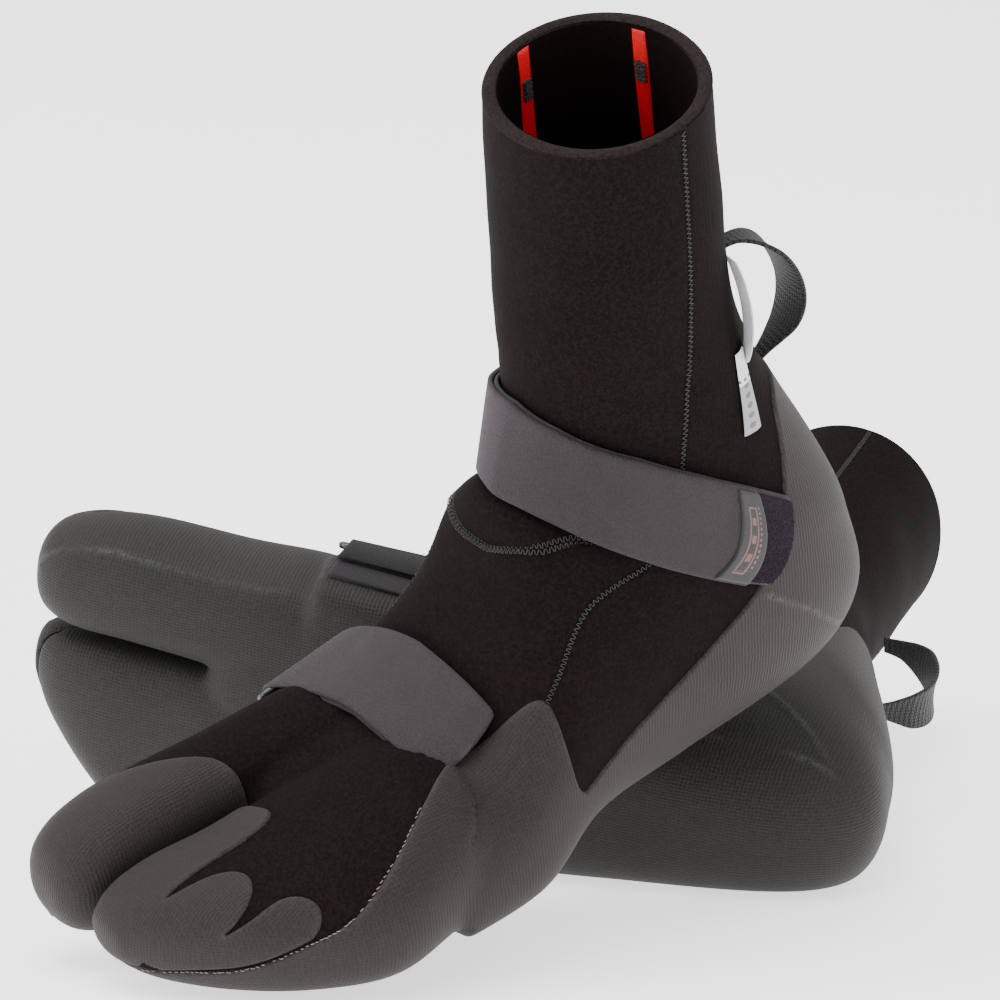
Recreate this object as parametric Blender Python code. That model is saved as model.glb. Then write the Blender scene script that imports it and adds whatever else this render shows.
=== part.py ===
"""Pair of split-toe neoprene water boots.

The right boot lies on its outer side on the floor.  The left boot stands
nearly upright in front of it, toe down, its heel propped on the right boot.
Each boot is described once, in its own frame: +x outer side, -y toes, +z up
the shaft, sole at z = 0.  The right boot is its mirror image.
"""
import bpy
import bmesh
from math import sin, cos, pi, radians, copysign
from mathutils import Euler, Vector

MM = 0.001

# ---- cloth and rubber thicknesses, all measured outwards from the neoprene's face
NEOPRENE = 4.5 * MM
TREAD = 3.0 * MM
TREAD_GAP = 0.3 * MM
SKIN = (1.2 * MM, 2.5 * MM)
WEB_BASE = (0.7 * MM, 2.1 * MM)
WEB_FLAP = (2.5 * MM, 4.1 * MM)
LABEL = (4.4 * MM, 5.0 * MM)
PATCH = (2.5 * MM, 3.5 * MM)
CARE_TAG = (0.6 * MM, 1.4 * MM)
TAPE = (-5.6 * MM, -4.9 * MM)

# ---- boot sections from the cuff (0) over the heel (5) to the ball (9), in mm:
# back, up, tilt in degrees, half width, depth in front, depth behind, squareness
SECTIONS = (
    (2, 241, -6, 38.5, 33.5, 33, 2.05),
    (1, 200, -2.5, 37, 35.5, 34, 2.1),
    (1.5, 155, 1.5, 35.5, 38, 36, 2.1),
    (7, 119, 10, 37, 44, 46.5, 2.1),
    (11, 88.5, 24.5, 39, 52.5, 67, 2.1),
    (1, 73.5, 41.5, 39.5, 57.5, 88.5, 2.15),
    (-28, 56, 63.5, 41, 57.5, 63.5, 2.25),
    (-53, 36.5, 78, 46.5, 44, 38.5, 2.35),
    (-79.5, 20.5, 84.5, 54.5, 35, 34.5, 2.4),
    (-110, 15, 87, 58, 29.5, 29, 2.4),
)
# toe pockets from the ball to the tip, in mm: along, across, up, half width, half height
BIG_TOE = (
    (-112, -31.5, 22.5, 21.5, 23.5),
    (-140, -32, 22, 19, 22.5),
    (-170, -33.5, 21.5, 18.5, 21.5),
    (-190, -33, 20.5, 17.5, 19),
    (-201, -33, 19.5, 13.5, 13.5),
    (-205, -33, 19.5, 7.5, 5.5),
)
FOUR_TOES = (
    (-112, 24.5, 24.5, 34, 27),
    (-138, 25, 21.5, 38.5, 25),
    (-160, 19.5, 20.5, 35, 21),
    (-180, 11, 20, 27, 18.5),
    (-195, 2, 19, 17.5, 12.5),
    (-203, -2.5, 19, 8, 6),
)
TOE_SQUARE = 2.3
CLEFT = -13.5 * MM
CLEFT_HALF = 2.4 * MM
CAP_FROM = 2

# ---- panel seams
SEAM = ((0, 98), (1.7, 95), (3, 77), (5, 64), (7, 54), (9, 50))
INSTEP_SEAM = 5.6
HEEL_SEAM = 6
PANEL_GAP = 0.006
ANGLE_STEP = 10

# ---- rubber skins
WING = ((6.8, 60, 104), (7.3, 47, 104), (7.8, 52, 102), (8.4, 64, 101), (8.9, 70, 101))
RAND = ((5.3, 104, 132), (6, 102, 124), (6.7, 99, 110))
HEEL_CUP = ((2.95, 138), (3.5, 120), (4, 114), (4.7, 105), (5.2, 102))

# ---- outline of the flat tread, in mm: outer side, four toes, cleft, big toe, inner side
TREAD_LINE = (
    (0, 48), (10, 45), (17.5, 36), (20.5, 20), (23, 0), (27.5, -28), (31.5, -53), (36, -80),
    (40.5, -112), (43.5, -138), (38, -158), (26, -174), (10, -187), (-6, -194),
    (-11, -180), (-11, -120), (-16.5, -120), (-18, -180), (-24, -194), (-40, -196),
    (-48, -180), (-49, -140), (-50, -112), (-46, -80), (-38, -53), (-28, -28),
    (-26, 0), (-23, 20), (-20, 36), (-10, 46),
)

# ---- straps: upper and lower edges along the boot against the angle round it
ANKLE_TOP = ((0, 2.4), (24, 2.5), (60, 2.8), (83, 3.1), (114, 3.6))
ANKLE_LOW = ((0, 5.5), (28, 5.15), (60, 4.9), (83, 4.8), (114, 4.7))
INSTEP_TOP = ((-110, 7.95), (-55, 7.88), (-8, 7.72), (40, 7.76))
INSTEP_LOW = ((-110, 8.85), (-55, 8.78), (-8, 8.6), (40, 8.66))
ANKLE_SLANT = ((60, 0), (90, 4), (100, 6), (113, 12))
ANKLE_CLING = ((55, 0), (85, 1))
ROWS = (0, 0.35, 0.7, 1)
ANKLE_RING_AT = -75
ANKLE_SPLIT_AT = 40
ANKLE_LABEL_FROM = 86
ANKLE_END_AT = 100
ANKLE_SEWN_AT = 113
INSTEP_RING_AT = {"left": -60, "right": -72}
INSTEP_END_AT = 29
TAB_END = {"ankle": -106, "instep": -102}

# ---- rings the straps fold back through
ROD = 1.1 * MM
RING_PITCH = 7 * MM
RING_RISE = 3.9 * MM
RING_SIDE = 2.9 * MM
FOLD_LIFT = 2.2 * MM
FOLD = (1.5 * MM, 2.9 * MM)

# ---- pull loop at the back of the shaft, in mm: back, up, half width
LOOP = ((40, 165.5, 2.5), (50, 170, 5), (62, 166, 8), (69, 153, 8),
        (68, 140, 8), (60, 129, 5), (54.5, 122, 2.5))
LOOP_THICK = 1.6 * MM
LOOP_AXIS = ((0, 37.5, 165), (0, 51, 119))

# ---- where the right boot is pressed flat on the floor: station, face height
PRESS = ((0, 0), (3, 0), (3.3, 5.1), (4.9, 5.1), (5.3, 2.5), (9, 2.5))
TOE_PRESS = 2.5 * MM
PRESS_GAP = 1.6 * MM

# ---- how each boot stands in the pair: yaw, pitch, roll in degrees, then its place
POSE = {
    "left": (-39.1, 16.9, 15.7, Vector((0.0778, -0.0415, 0.0584))),
    "right": (-88.0, -8.9, -79.4, Vector((0.0654, -0.0384, 0.0237))),
}

COLOURS = {
    "neoprene": ((0.018, 0.015, 0.015), 0.85, 0.0),
    "rubber": ((0.075, 0.068, 0.070), 0.6, 0.0),
    "webbing": ((0.085, 0.075, 0.082), 0.8, 0.0),
    "steel": ((0.62, 0.62, 0.63), 0.25, 1.0),
    "loop_pile": ((0.01, 0.01, 0.011), 0.95, 0.0),
    "binding": ((0.02, 0.02, 0.022), 0.8, 0.0),
    "satin": ((0.75, 0.75, 0.76), 0.5, 0.0),
    "seam_tape": ((0.72, 0.01, 0.02), 0.6, 0.0),
}


def along(table, at):
    """Straight-line value of a two-column table."""
    if at <= table[0][0]:
        return table[0][1]
    for (x0, y0), (x1, y1) in zip(table, table[1:]):
        if at <= x1:
            return y0 + (y1 - y0) * (at - x0) / (x1 - x0)
    return table[-1][1]


def blend(rows, at):
    """Row between two rows of a table, at a fractional row number."""
    low = min(int(at), len(rows) - 2)
    part = at - low
    return [a + (b - a) * part for a, b in zip(rows[low], rows[low + 1])]


def power(value, exponent):
    return copysign(abs(value) ** exponent, value)


def stops(first, last, size):
    """First, last and every whole multiple of size between them."""
    low, high = min(first, last), max(first, last)
    inside = [k * size for k in range(int(low / size) - 1, int(high / size) + 2)]
    inside = [x for x in inside if low + 0.15 * size < x < high - 0.15 * size]
    return [first] + (inside if first < last else inside[::-1]) + [last]


def place(side, point, rise=0.0, press=None):
    """Boot frame to the pair's frame; the right boot is flattened by the floor."""
    yaw, pitch, roll, spot = POSE[side]
    turn = (Euler((0, 0, radians(yaw))).to_matrix()
            @ Euler((radians(pitch), 0, 0)).to_matrix()
            @ Euler((0, radians(roll), 0)).to_matrix())
    x, y, z = point
    if side == "right":
        x = -x
    put = turn @ Vector((x, y, z)) + spot
    if side == "right" and press is not None:
        put.z = max(put.z, press - rise + (PRESS_GAP if rise <= 0 else 0.0))
    return put


def surface(side, at, angle, rise):
    """Point of the boot's surface, `rise` outside the neoprene's outer face."""
    back, up, tilt, wide, front, rear, square = blend(SECTIONS, at)
    s, c = sin(radians(angle)), cos(radians(angle))
    depth = front if c > 0 else rear
    x = (wide * MM + rise) * power(s, 2 / square)
    d = (depth * MM + rise) * power(c, 2 / square)
    y = back * MM - d * cos(radians(tilt))
    z = up * MM + d * sin(radians(tilt))
    z = max(z, TREAD + TREAD_GAP - rise)
    return place(side, (x, y, z), rise, along(PRESS, at) * MM)


def toe_point(side, pocket, at, angle, rise):
    """Point of a toe pocket; the cleft side stays clear of the other pocket."""
    y, x, up, wide, high = [v * MM for v in blend(pocket, at)]
    if at > 4.5:
        y -= rise
    x += (wide + rise) * power(sin(radians(angle)), 2 / TOE_SQUARE)
    z = up + (high + rise) * power(cos(radians(angle)), 2 / TOE_SQUARE)
    z = max(z, TREAD + TREAD_GAP - rise)
    if pocket is BIG_TOE:
        x = min(x, CLEFT - CLEFT_HALF + rise)
    else:
        x = max(x, CLEFT + CLEFT_HALF - rise)
    return place(side, (x, y, z), rise, TOE_PRESS)


def make_object(name, points, faces, material, origin=None):
    """One closed body, faces outwards, with its origin on its joint axis if it moves."""
    at = Vector(origin) if origin is not None else Vector((0, 0, 0))
    bm = bmesh.new()
    verts = [bm.verts.new(Vector(p) - at) for p in points]
    for face in faces:
        bm.faces.new([verts[k] for k in face])
    bmesh.ops.recalc_face_normals(bm, faces=bm.faces)
    mesh = bpy.data.meshes.new(name)
    bm.to_mesh(mesh)
    bm.free()
    mesh.materials.append(MATERIALS[material])
    obj = bpy.data.objects.new(name, mesh)
    obj.location = at
    bpy.context.scene.collection.objects.link(obj)
    return obj


def sheet(name, one, other, material, origin=None):
    """Solid between two matching grids of points."""
    rows, cols = len(one), len(one[0])
    points = [p for grid in (one, other) for row in grid for p in row]
    half = rows * cols
    faces = []
    for i in range(rows - 1):
        for j in range(cols - 1):
            a, b = i * cols + j, i * cols + j + 1
            faces.append((a, b, b + cols, a + cols))
            faces.append((half + a, half + a + cols, half + b + cols, half + b))
    rim = [j for j in range(cols - 1)]
    rim += [i * cols + cols - 1 for i in range(rows - 1)]
    rim += [(rows - 1) * cols + j for j in range(cols - 1, 0, -1)]
    rim += [i * cols for i in range(rows - 1, 0, -1)]
    for a, b in zip(rim, rim[1:] + rim[:1]):
        faces.append((a, b, half + b, half + a))
    return make_object(name, points, faces, material, origin)


def panel(name, side, spans, layer, material):
    """Curved panel over spans of (station, first angle, last angle)."""
    widest = max(abs(last - first) for _, first, last in spans)
    count = int(widest / ANGLE_STEP) + 1
    grids = []
    for rise in layer:
        grid = []
        for at, first, last in spans:
            grid.append([surface(side, at, first + (last - first) * k / count, rise)
                         for k in range(count + 1)])
        grids.append(grid)
    return sheet(name, grids[0], grids[1], material)


def finer(spans):
    """The same spans read again at every half station."""
    first = [(at, a) for at, a, _ in spans]
    last = [(at, b) for at, _, b in spans]
    return [(at, along(first, at), along(last, at)) for at in stops(spans[0][0], spans[-1][0], 0.5)]


def seam_spans(first, last, rear):
    """Spans of the panel in front of the side seams, or behind them."""
    gap = 0.65
    stations = [first] + [k / 2 for k in range(int(first * 2) + 1, 19) if k / 2 < last - 0.1]
    spans = []
    for at in stations + [last]:
        edge = along(SEAM, at)
        spans.append((at, edge + gap, 360 - edge - gap) if rear else (at, gap - edge, edge - gap))
    return spans


def pocket(name, side, shape):
    """Closed toe pocket, open towards the foot."""
    count = 360 // 18
    rings = []
    stations = [0, 1, 2, 3, 4, 5]
    for rise, order in ((0.0, stations), (-NEOPRENE, stations[::-1])):
        for at in order:
            rings.append([toe_point(side, shape, at, 360 * k / count, rise) for k in range(count)])
    points = [p for ring in rings for p in ring]
    faces = []
    tip = len(stations) - 1
    for i in range(len(rings)):
        if i == tip:
            continue
        a = i * count
        b = ((i + 1) % len(rings)) * count
        for k in range(count):
            n = (k + 1) % count
            faces.append((a + k, a + n, b + n, b + k))
    faces.append(tuple(tip * count + k for k in range(count)))
    faces.append(tuple((tip + 1) * count + k for k in range(count)))
    return make_object(name, points, faces, "neoprene")


def toe_cap(name, side, shape, first, last):
    """Rubber cap over the top and outer side of a toe pocket."""
    angles = stops(first, last, 18)
    grids = []
    for rise in SKIN:
        grids.append([[toe_point(side, shape, at, angle, rise) for angle in angles]
                      for at in (CAP_FROM, 3, 4, 5)])
    return sheet(name, grids[0], grids[1], "rubber")


def strap_row(side, strap, angle, rise, rows=ROWS):
    """Points across a strap at one angle round the boot."""
    if strap == "instep":
        top, low = along(INSTEP_TOP, angle), along(INSTEP_LOW, angle)
        return [surface(side, top + (low - top) * t, angle, rise) for t in rows]
    top, low = along(ANKLE_TOP, abs(angle)), along(ANKLE_LOW, abs(angle))
    slant = copysign(along(ANKLE_SLANT, abs(angle)), angle)
    first = surface(side, top, angle, rise)
    last = surface(side, low, angle - slant, rise)
    cling = along(ANKLE_CLING, abs(angle))
    line = []
    for t in rows:
        laid = surface(side, top + (low - top) * t, angle - slant * t, rise)
        line.append(first.lerp(last, t).lerp(laid, cling))
    return line


def ring_frame(side, strap, angle):
    """Middle of the ring, and the directions across, along and out of the strap."""
    line = strap_row(side, strap, angle, 0.0)
    first, last = line[0], line[-1]
    before = strap_row(side, strap, angle - 1, 0.0, (0.5,))[0]
    after = strap_row(side, strap, angle + 1, 0.0, (0.5,))[0]
    across = (last - first).normalized()
    forward = after - before
    forward = (forward - across * forward.dot(across)).normalized()
    out = across.cross(forward)
    raised = strap_row(side, strap, angle, MM, (0.5,))[0] - (after + before) / 2
    if out.dot(raised) < 0:
        out = -out
    bulge = max((point - first).dot(out) for point in line)
    middle = (first + last) / 2 + out * (RING_RISE + bulge)
    return middle, across, forward, out, (last - first).length / 2


def fold_row(frame, bar, angle, radius):
    """Points across the strap where it turns round one bar of the ring."""
    middle, across, forward, out, half = frame
    axis = middle + forward * (bar * RING_PITCH / 2)
    axis = axis + (forward * cos(radians(angle)) + out * sin(radians(angle))) * radius
    return [axis + across * (half * (2 * t - 1)) for t in ROWS]


def ring(name, side, strap, angle):
    """Rectangular ring of round rod, its origin on the bar held by the tab."""
    middle, across, forward, out, half = ring_frame(side, strap, angle)
    w, t, chamfer = half + RING_SIDE, RING_PITCH / 2, 1.8 * MM
    corners = []
    for sx, sy in ((1, 1), (-1, 1), (-1, -1), (1, -1)):
        pair = [(sx * (w - chamfer), sy * t), (sx * w, sy * (t - chamfer))]
        corners += pair if sx == -sy else pair[::-1]
    count = 6
    points = []
    for i, (px, py) in enumerate(corners):
        ax, ay = corners[i - 1]
        bx, by = corners[(i + 1) % len(corners)]
        inward = Vector((bx - ax, by - ay)).normalized()
        side_way = across * inward.y - forward * inward.x
        centre = middle + across * px + forward * py
        for k in range(count):
            turn = 2 * pi * k / count
            points.append(centre + (side_way * cos(turn) * 1.08 + out * sin(turn)) * ROD)
    faces = []
    for i in range(len(corners)):
        a, b = i * count, ((i + 1) % len(corners)) * count
        for k in range(count):
            n = (k + 1) % count
            faces.append((a + k, a + n, b + n, b + k))
    return make_object(name, points, faces, "steel", middle - forward * RING_PITCH / 2)


def strap_set(side, strap, ring_at, end_at, sewn_at, split_at=None):
    """Tab, ring, sewn-on part and flap of one strap."""
    frame = ring_frame(side, strap, ring_at)
    name = side + "_" + strap
    ring(name + "_ring", side, strap, ring_at)

    near, far = [], []
    for angle in stops(TAB_END[strap], ring_at - 8, ANGLE_STEP):
        near.append(strap_row(side, strap, angle, WEB_BASE[1]))
        far.append(strap_row(side, strap, angle, WEB_BASE[0]))
    for turn in (-100, -60, -20, 20, 60, 100):
        near.append(fold_row(frame, -1, turn, FOLD[0]))
        far.append(fold_row(frame, -1, turn, FOLD[1]))
    near.append(strap_row(side, strap, ring_at - 18, WEB_FLAP[0]))
    far.append(strap_row(side, strap, ring_at - 18, WEB_FLAP[1]))
    sheet(name + "_ring_tab", near, far, "webbing")

    strap_layer(name + "_strap_base", side, strap, ring_at + 11, sewn_at, WEB_BASE, "webbing")

    near, far = [], []
    for turn in (245, 210, 175, 140, 105):
        near.append(fold_row(frame, 1, turn, FOLD[0]))
        far.append(fold_row(frame, 1, turn, FOLD[1]))
    near.append(strap_row(side, strap, ring_at + 14, WEB_FLAP[0] + FOLD_LIFT))
    far.append(strap_row(side, strap, ring_at + 14, WEB_FLAP[1] + FOLD_LIFT))
    for angle in stops(ring_at + 26, split_at or end_at, ANGLE_STEP):
        near.append(strap_row(side, strap, angle, WEB_FLAP[0]))
        far.append(strap_row(side, strap, angle, WEB_FLAP[1]))
    middle, _, forward, _, _ = frame
    sheet(name + "_strap_flap", near, far, "webbing", middle + forward * RING_PITCH / 2)
    if split_at is not None:
        crease = strap_row(side, strap, split_at + 0.4, WEB_FLAP[1], (0.5,))[0]
        strap_layer(name + "_strap_end", side, strap, split_at + 0.8, end_at, WEB_FLAP,
                    "webbing", crease)


def strap_layer(name, side, strap, first, last, layer, material, origin=None):
    """Stretch of strap, or something sewn on it, between two angles."""
    grids = [[strap_row(side, strap, angle, rise) for angle in stops(first, last, ANGLE_STEP)]
             for rise in layer]
    return sheet(name, grids[0], grids[1], material, origin)


def pull_loop(side):
    """Webbing loop standing out behind the shaft."""
    inner, outer = [], []
    for i, (back, up, half) in enumerate(LOOP):
        y0, z0, _ = LOOP[max(i - 1, 0)]
        y1, z1, _ = LOOP[min(i + 1, len(LOOP) - 1)]
        way = Vector((0, y1 - y0, z1 - z0)).normalized()
        out = Vector((0, -way.z, way.y))
        for grid, shift in ((inner, -LOOP_THICK / 2), (outer, LOOP_THICK / 2)):
            centre = Vector((0, back, up)) * MM + out * shift
            grid.append([place(side, centre + Vector((x * half * MM, 0, 0))) for x in (-1, 0, 1)])
    low = place(side, Vector(LOOP_AXIS[1]) * MM)
    sheet(side + "_pull_loop", inner, outer, "binding", low)


def tread(side):
    """Flat tread plate under the foot and both toe pockets."""
    count = len(TREAD_LINE)
    points = [place(side, (x * MM, y * MM, z)) for z in (0.0, TREAD) for x, y in TREAD_LINE]
    faces = [tuple(range(count)), tuple(range(count, 2 * count))]
    for k in range(count):
        n = (k + 1) % count
        faces.append((k, n, count + n, count + k))
    make_object(side + "_tread", points, faces, "rubber")


def boot(side):
    """All pieces of one boot."""
    wall = (-NEOPRENE, 0.0)
    low = HEEL_SEAM - PANEL_GAP
    ball = 9 - PANEL_GAP
    panel(side + "_shaft_front", side, seam_spans(0, INSTEP_SEAM - PANEL_GAP, False), wall, "neoprene")
    panel(side + "_vamp", side, seam_spans(INSTEP_SEAM + PANEL_GAP, ball, False), wall, "neoprene")
    panel(side + "_heel_panel", side, seam_spans(0, low, True), wall, "neoprene")
    panel(side + "_foot_panel", side, seam_spans(HEEL_SEAM + PANEL_GAP, ball, True), wall, "neoprene")
    pocket(side + "_big_toe_pocket", side, BIG_TOE)
    pocket(side + "_four_toe_pocket", side, FOUR_TOES)
    tread(side)
    toe_cap(side + "_big_toe_cap", side, BIG_TOE, -108, 54)
    toe_cap(side + "_four_toe_cap", side, FOUR_TOES, -54, 108)
    panel(side + "_outer_wing", side, finer(WING), SKIN, "rubber")
    panel(side + "_outer_rand", side, finer(RAND), SKIN, "rubber")
    inner = [(at, -first, -last) for at, first, last in RAND]
    panel(side + "_inner_rand", side, finer(inner), SKIN, "rubber")
    cup = [(at, edge, 360 - edge) for at, edge in HEEL_CUP]
    panel(side + "_heel_cup", side, finer(cup), SKIN, "rubber")

    strap_set(side, "instep", INSTEP_RING_AT[side], INSTEP_END_AT, 20)
    strap_set(side, "ankle", ANKLE_RING_AT, ANKLE_END_AT, ANKLE_SEWN_AT, ANKLE_SPLIT_AT)
    strap_layer(side + "_ankle_label", side, "ankle", ANKLE_LABEL_FROM, ANKLE_END_AT, LABEL, "webbing")
    strap_layer(side + "_ankle_loop_patch", side, "ankle", ANKLE_END_AT + 0.8, ANKLE_SEWN_AT,
                PATCH, "loop_pile")

    pull_loop(side)
    tag = ((2.2, 121, 130), (2.45, 113, 124), (2.85, 107, 118))
    panel(side + "_care_tag", side, tag, CARE_TAG, "satin")
    for number, angle in enumerate((94, -82, -155), 1):
        spans = [(at, angle - 6, angle + 6) for at in (0.06, 0.5, 1, 1.5)]
        panel(side + "_seam_tape_" + str(number), side, spans, TAPE, "seam_tape")


for old in list(bpy.data.objects):
    bpy.data.objects.remove(old, do_unlink=True)

MATERIALS = {}
for key, (colour, rough, metal) in COLOURS.items():
    material = bpy.data.materials.new(key)
    material.use_nodes = True
    shader = material.node_tree.nodes["Principled BSDF"]
    shader.inputs["Base Color"].default_value = (*colour, 1.0)
    shader.inputs["Roughness"].default_value = rough
    shader.inputs["Metallic"].default_value = metal
    material.diffuse_color = (*colour, 1.0)
    MATERIALS[key] = material

for which in ("left", "right"):
    boot(which)
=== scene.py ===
"""Looks of the pair of split-toe neoprene boots: neoprene bodies, rubber skins, straps and trims."""

from math import radians, pi

import bpy
import numpy as np
from mathutils import Euler, Matrix, Vector, kdtree


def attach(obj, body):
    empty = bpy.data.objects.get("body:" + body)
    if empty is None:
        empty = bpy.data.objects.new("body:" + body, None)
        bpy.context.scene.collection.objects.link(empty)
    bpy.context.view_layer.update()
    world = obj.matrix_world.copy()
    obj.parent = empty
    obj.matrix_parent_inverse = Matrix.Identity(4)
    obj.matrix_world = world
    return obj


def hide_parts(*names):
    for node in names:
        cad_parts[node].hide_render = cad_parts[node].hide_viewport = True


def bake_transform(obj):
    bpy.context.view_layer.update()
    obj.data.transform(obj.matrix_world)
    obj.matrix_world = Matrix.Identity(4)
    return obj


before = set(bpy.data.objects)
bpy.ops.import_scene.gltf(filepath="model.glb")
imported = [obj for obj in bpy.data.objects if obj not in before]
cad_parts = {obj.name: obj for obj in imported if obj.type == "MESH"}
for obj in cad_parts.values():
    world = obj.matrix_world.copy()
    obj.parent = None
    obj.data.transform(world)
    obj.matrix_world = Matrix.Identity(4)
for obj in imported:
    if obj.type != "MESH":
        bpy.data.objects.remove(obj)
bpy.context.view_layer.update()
MM = 0.001
RNG = np.random.default_rng(7)

# ------------------------------------------------------------------ shape, in the boot's own frame
# x outer side, -y toes, z up, in mm: back, up, tilt, half width, front, rear, squareness
SECTIONS = np.array((
    (1.7, 241.2, -6.1, 38.3, 33.5, 33.2, 2.05),
    (0.8, 200.0, -2.3, 36.9, 35.3, 33.9, 2.1),
    (1.3, 154.9, 1.5, 35.7, 38.1, 36.1, 2.1),
    (6.8, 118.8, 10.2, 37.2, 44.2, 46.7, 2.1),
    (11.2, 88.5, 24.7, 39.1, 52.4, 66.8, 2.1),
    (0.9, 73.4, 41.4, 39.5, 57.4, 88.5, 2.15),
    (-28.1, 55.9, 63.7, 41.2, 57.3, 63.4, 2.25),
    (-53.2, 36.4, 78.2, 46.4, 44.0, 38.3, 2.35),
    (-79.3, 20.5, 84.7, 54.3, 34.8, 34.5, 2.4),
    (-109.9, 14.9, 87.1, 57.9, 29.7, 29.2, 2.4),
))
# toe pockets in mm: along, across, up, half width, half height
BIG_TOE = np.array((
    (-84, -31, 25, 17, 24), (-112, -31, 22.7, 21.7, 23.6), (-140, -32.1, 22.1, 19.4, 22.5),
    (-170, -33.4, 21.5, 19, 21.6), (-190, -33, 20.3, 17.8, 19.2), (-201, -33.1, 19.5, 13.8, 13.5),
    (-205.4, -33.2, 19.3, 6.5, 5),
))
FOUR_TOES = np.array((
    (-84, 20, 24.5, 30, 26.5), (-112, 24, 24.5, 34.5, 27.1), (-137, 24.5, 21.5, 38.8, 25.2),
    (-160, 19.8, 20.5, 35.1, 21.1), (-180, 11, 20.1, 27.3, 18.4), (-195, 2.3, 19.2, 17.8, 12.9),
    (-203.4, -2.4, 19, 7.5, 5.5),
))
WEB = np.array((
    (-96, -12, 22, 24, 24), (-118, -12, 20.5, 20, 22.5), (-134, -12.6, 19, 15, 19), (-142, -13, 18, 8, 12),
))
CLEFT = -13.4  # x of the wall between the two toe pockets
VOXEL = 1.25
WALL = 4.5
POSE = {
    "left": ((-39.1, 16.9, 15.7), (0.0778, -0.0415, 0.0584)),
    "right": ((-88.0, -8.9, -79.4), (0.0654, -0.0384, 0.0237)),
}
SEAM = ((0, 98), (1, 98), (1.7, 95), (3, 77), (4, 69), (5, 64), (6, 58), (7, 52.5), (9, 46))


def catmull(rows, at):
    """Smooth value of a table's rows at fractional row numbers."""
    rows = np.asarray(rows, float)
    last = len(rows) - 1
    at = np.clip(np.asarray(at, float), 0, last)
    i = np.minimum(at.astype(int), last - 1)
    t = (at - i)[:, None]
    p1, p2 = rows[i], rows[i + 1]
    m1 = (p2 - rows[np.maximum(i - 1, 0)]) / 2
    m2 = (rows[np.minimum(i + 2, last)] - p1) / 2
    return ((2 * t**3 - 3 * t**2 + 1) * p1 + (t**3 - 2 * t**2 + t) * m1
            + (3 * t**2 - 2 * t**3) * p2 + (t**3 - t**2) * m2)


def curve(table, x):
    """Smooth curve through (x, y) pairs."""
    table = np.asarray(table, float)
    xs, ys = table[:, 0], table[:, 1]
    slope = np.gradient(ys, xs)
    x = np.clip(np.asarray(x, float), xs[0], xs[-1])
    i = np.clip(np.searchsorted(xs, x, side="right") - 1, 0, len(xs) - 2)
    w = xs[i + 1] - xs[i]
    t = (x - xs[i]) / w
    return ((2 * t**3 - 3 * t**2 + 1) * ys[i] + (t**3 - 2 * t**2 + t) * w * slope[i]
            + (3 * t**2 - 2 * t**3) * ys[i + 1] + (t**3 - t**2) * w * slope[i + 1])


def power(v, p):
    """A signed power, for squared-off circles."""
    return np.sign(v) * np.abs(v) ** p


def unit(v):
    """Vectors scaled to length 1."""
    return v / np.maximum(np.linalg.norm(v, axis=-1, keepdims=True), 1e-12)


def run_of(path):
    """Length along a path at each of its points."""
    return np.concatenate([[0], np.cumsum(np.linalg.norm(np.diff(path, axis=0), axis=1))])


def soft_floor(z, level, width):
    """z kept above a level, rounding over as it gets there."""
    return level + 0.5 * ((z - level) + np.sqrt((z - level) ** 2 + width**2))


def skin(u, angle, rise=0.0):
    """Points of the boot's face in mm; angle 0 is the front, 90 the outer side."""
    u, angle = np.broadcast_arrays(np.asarray(u, float), np.asarray(angle, float))
    s = catmull(SECTIONS, u.ravel())
    th = np.radians(angle.ravel())
    rise = np.broadcast_to(rise, u.shape).ravel()
    depth = np.where(np.cos(th) > 0, s[:, 4], s[:, 5]) + rise
    tilt = np.radians(s[:, 2])
    d = depth * power(np.cos(th), 2 / s[:, 6])
    x = (s[:, 3] + rise) * power(np.sin(th), 2 / s[:, 6])
    z = s[:, 1] + d * np.sin(tilt)
    z = np.where(u.ravel() > 3.5, soft_floor(z, 1.4 - rise, 3.0), z)
    return np.stack([x, s[:, 0] - d * np.cos(tilt), z], 1)


def lobe(rows, at, angle, side):
    """Points of a toe pocket in mm; side says which way its cleft wall faces."""
    s = catmull(rows, at)
    th = np.radians(angle)
    x = s[:, 1] + s[:, 3] * power(np.sin(th), 2 / 2.3)
    z = s[:, 2] + s[:, 4] * power(np.cos(th), 2 / 2.3)
    gap = 0.9 * np.clip((-138 - s[:, 0]) / 12, 0, 1)
    if side:
        x = side * soft_floor(side * x, side * CLEFT + gap, 2.4)
    return np.stack([x, s[:, 0], soft_floor(z, 1.4, 3.0)], 1)


def place(side, points):
    """Boot frame in mm to the pair's frame in metres; the floor flattens what it meets."""
    (yaw, pitch, roll), spot = POSE[side]
    turn = np.array(Euler((0, 0, radians(yaw))).to_matrix() @ Euler((radians(pitch), 0, 0)).to_matrix()
                    @ Euler((0, radians(roll), 0)).to_matrix())
    p = np.array(points, float) * MM
    if side == "right":
        p[:, 0] *= -1
    p = p @ turn.T + np.array(spot)
    if side == "right":
        p[:, 2] = soft_floor(p[:, 2], 0.0003, 0.003)
    return p


# ------------------------------------------------------------------ mesh helpers
def link(name, data):
    """An object in the scene that shows some data."""
    obj = bpy.data.objects.new(name, data)
    bpy.context.scene.collection.objects.link(obj)
    return obj


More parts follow.
